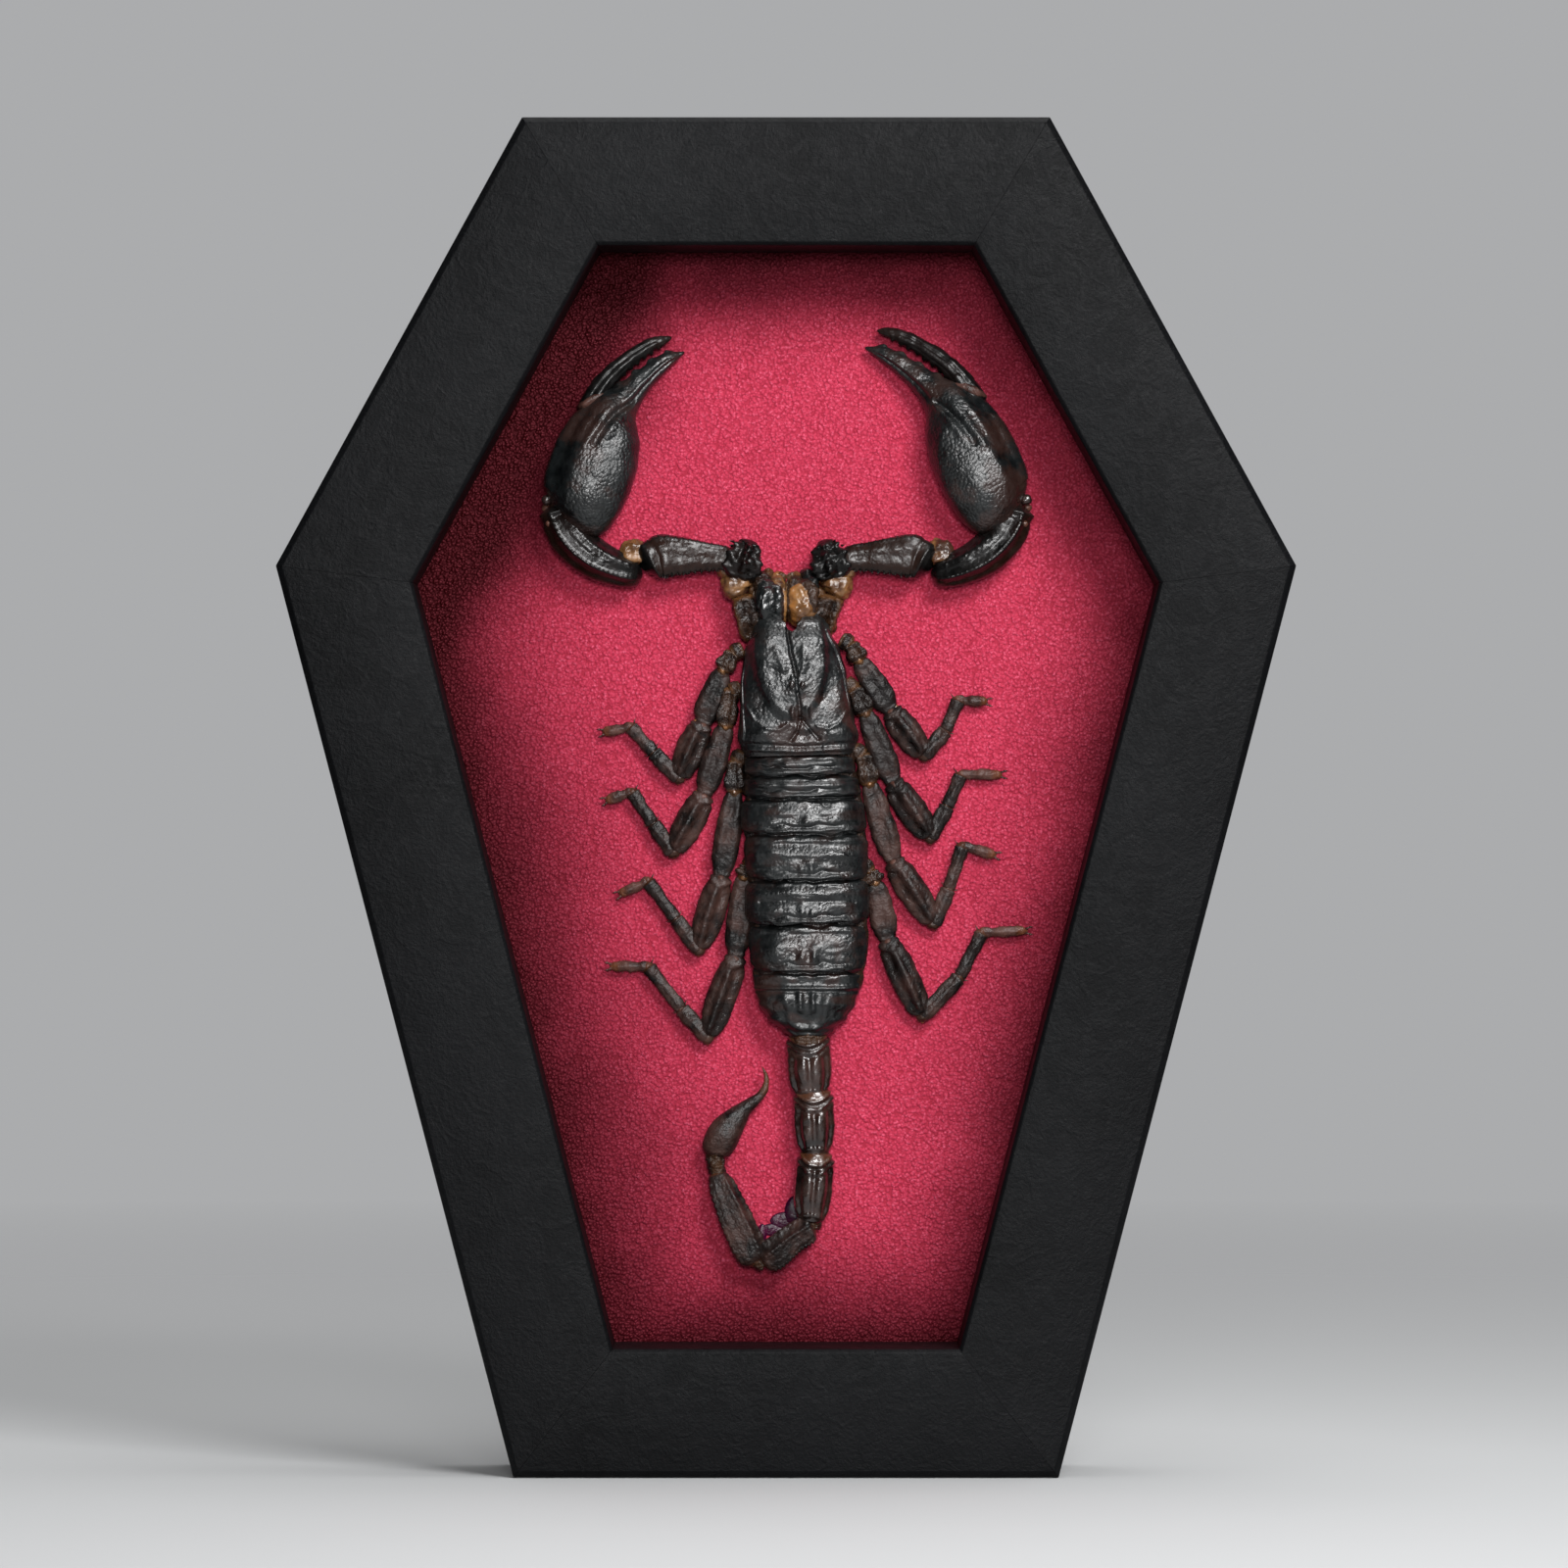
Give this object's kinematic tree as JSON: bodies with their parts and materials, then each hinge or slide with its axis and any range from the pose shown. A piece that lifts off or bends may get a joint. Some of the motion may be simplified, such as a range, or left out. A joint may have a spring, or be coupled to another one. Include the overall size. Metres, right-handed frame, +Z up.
{
  "type": "framed scorpion specimen",
  "caption": "Dried black scorpion laid out on a red leatherette lining in a deep black frame with a coffin outline, which stands on its short base rail.",
  "frame": {"origin": "middle of the base's footprint, on the surface that the base rail stands on", "axes": "+Z up along the coffin outline's long axis, -Y out of the front, where the specimen faces, +X to the viewer's right"},
  "size_m": [0.1388, 0.025, 0.185],
  "materials": {
    "frame_black": "matte black wrap with a faint wrinkled emboss",
    "lining_red": "crimson leatherette with a fine pebble grain",
    "board_brown": "bare brown hardboard",
    "point_steel": "bare steel",
    "cuticle_black": "satin black cuticle, granular in places",
    "cuticle_brown": "dull grey-brown cuticle",
    "cuticle_amber": "golden-brown cuticle with dark tips"
  },
  "bodies": {
    "root": {"rail_top": "frame_black", "rail_bottom": "frame_black", "rail_upper_left": "frame_black", "rail_upper_right": "frame_black", "rail_lower_left": "frame_black", "rail_lower_right": "frame_black", "lining_panel": "lining_red", "back_board": "board_brown", "point_top": "point_steel", "point_bottom": "point_steel", "point_upper_left": "point_steel", "point_upper_right": "point_steel", "point_lower_left": "point_steel", "point_lower_right": "point_steel", "scorpion_trunk": "cuticle_black", "scorpion_tail": "cuticle_black", "scorpion_pincer_left": "cuticle_black", "scorpion_pincer_right": "cuticle_black", "scorpion_jaw_left": "cuticle_amber", "scorpion_jaw_right": "cuticle_amber", "scorpion_leg_left_1": "cuticle_brown", "scorpion_leg_left_2": "cuticle_brown", "scorpion_leg_left_3": "cuticle_brown", "scorpion_leg_left_4": "cuticle_brown", "scorpion_leg_right_1": "cuticle_brown", "scorpion_leg_right_2": "cuticle_brown", "scorpion_leg_right_3": "cuticle_brown", "scorpion_leg_right_4": "cuticle_brown"}
  },
  "joints": []
}
